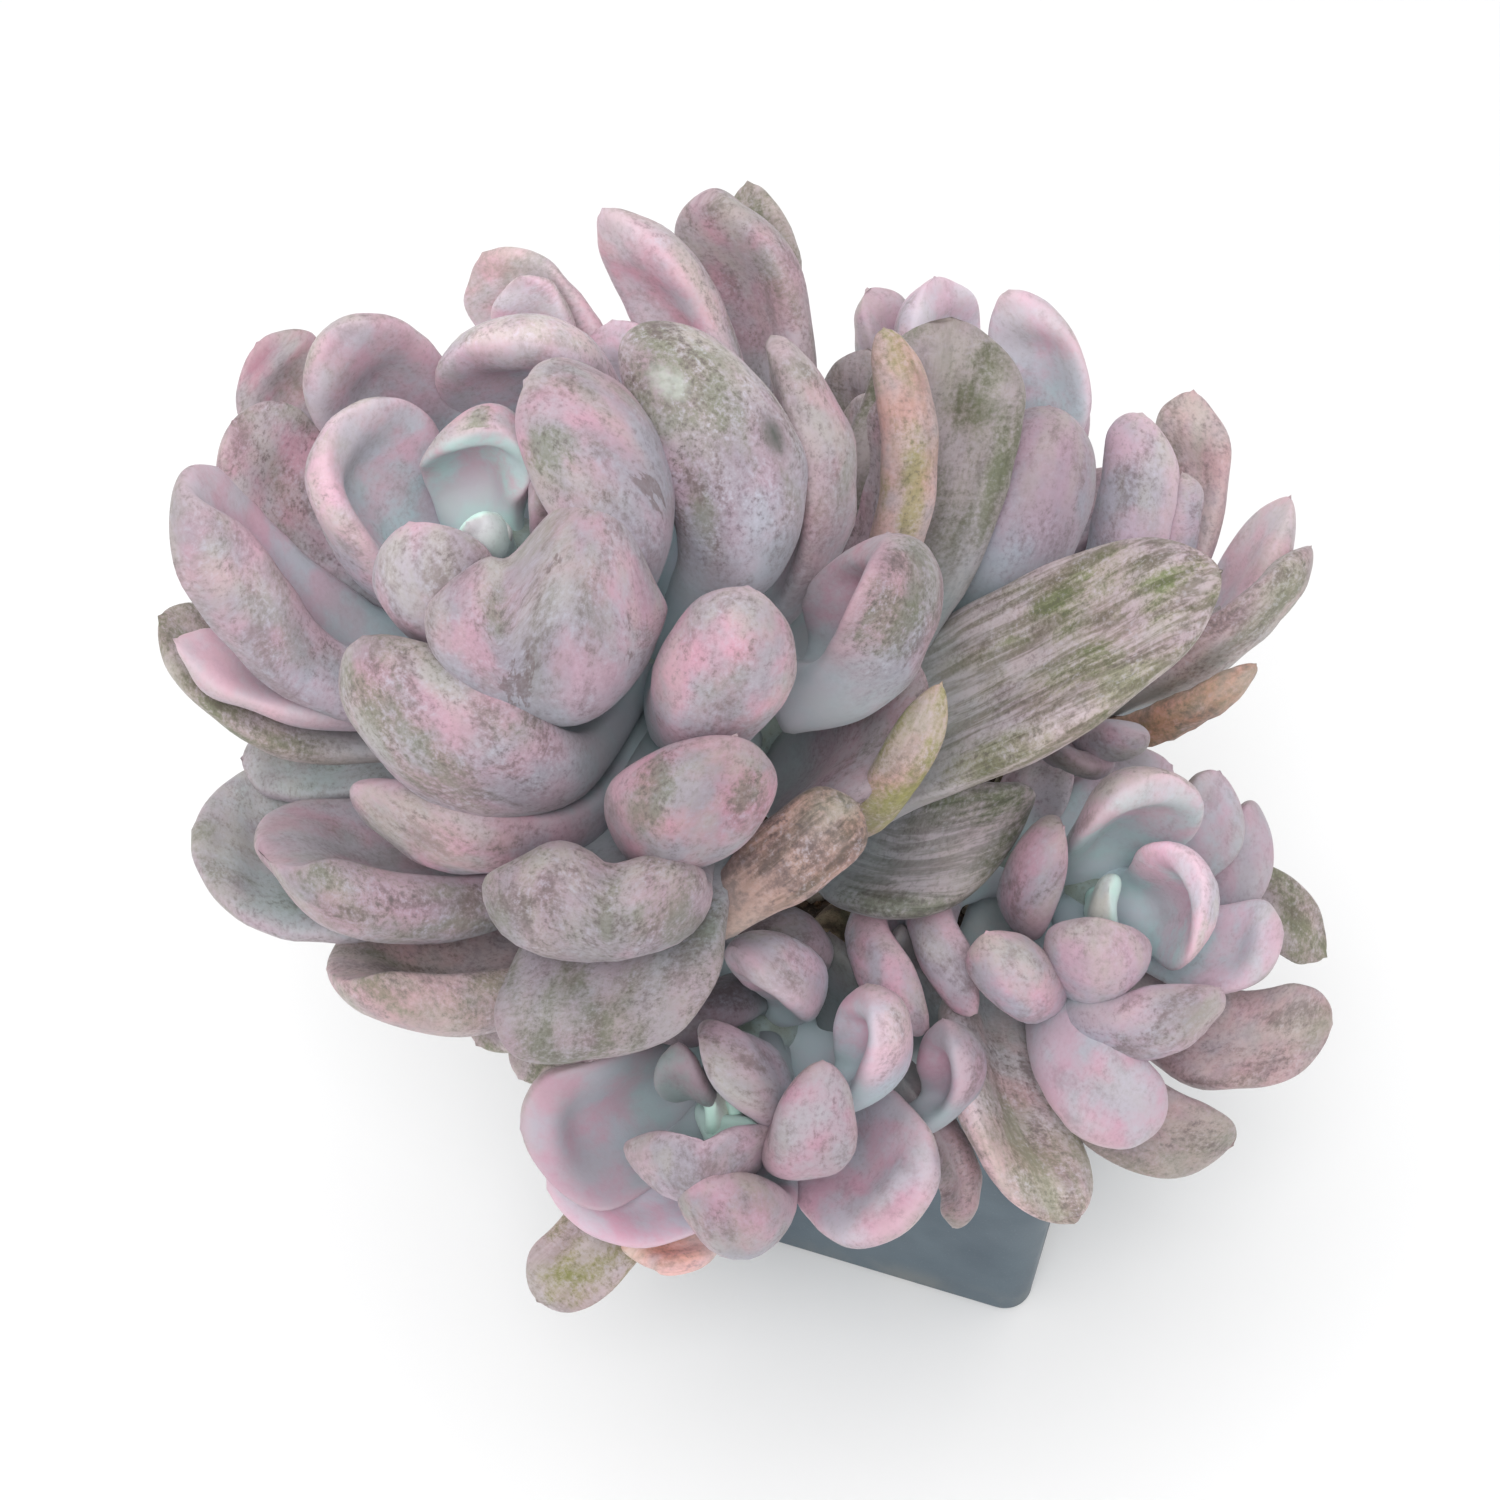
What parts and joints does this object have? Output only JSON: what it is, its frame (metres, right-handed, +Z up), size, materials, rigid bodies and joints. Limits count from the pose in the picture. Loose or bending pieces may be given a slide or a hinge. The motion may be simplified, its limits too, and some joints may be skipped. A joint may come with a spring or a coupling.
{
  "type": "potted roly poly echeveria",
  "caption": "Clustering succulent of plump spoon-shaped lilac leaves in tilted rosettes on a branched stem, overhanging a small square tapered slate-blue pot.",
  "frame": {"origin": "middle of the pot's underside, on the surface that it stands on", "axes": "+Z up, towards the plant; -Y is the side that the picture's viewer stands on, +X is to that viewer's right; the pot is turned 18.6 degrees clockwise in this frame"},
  "size_m": [0.1935, 0.1595, 0.2155],
  "materials": {
    "leaf_lilac": "satin",
    "leaf_pink": "satin",
    "leaf_tan": "satin",
    "stem_bark": "matte",
    "potting_soil": "matte",
    "pot_plastic": "satin"
  },
  "bodies": {
    "root": {"rosette_main": "leaf_lilac", "rosette_right": "leaf_pink", "rosette_front": "leaf_pink", "rosette_back": "leaf_lilac", "rosette_side": "leaf_tan", "stem": "stem_bark", "soil": "potting_soil", "pot": "pot_plastic"}
  },
  "joints": []
}
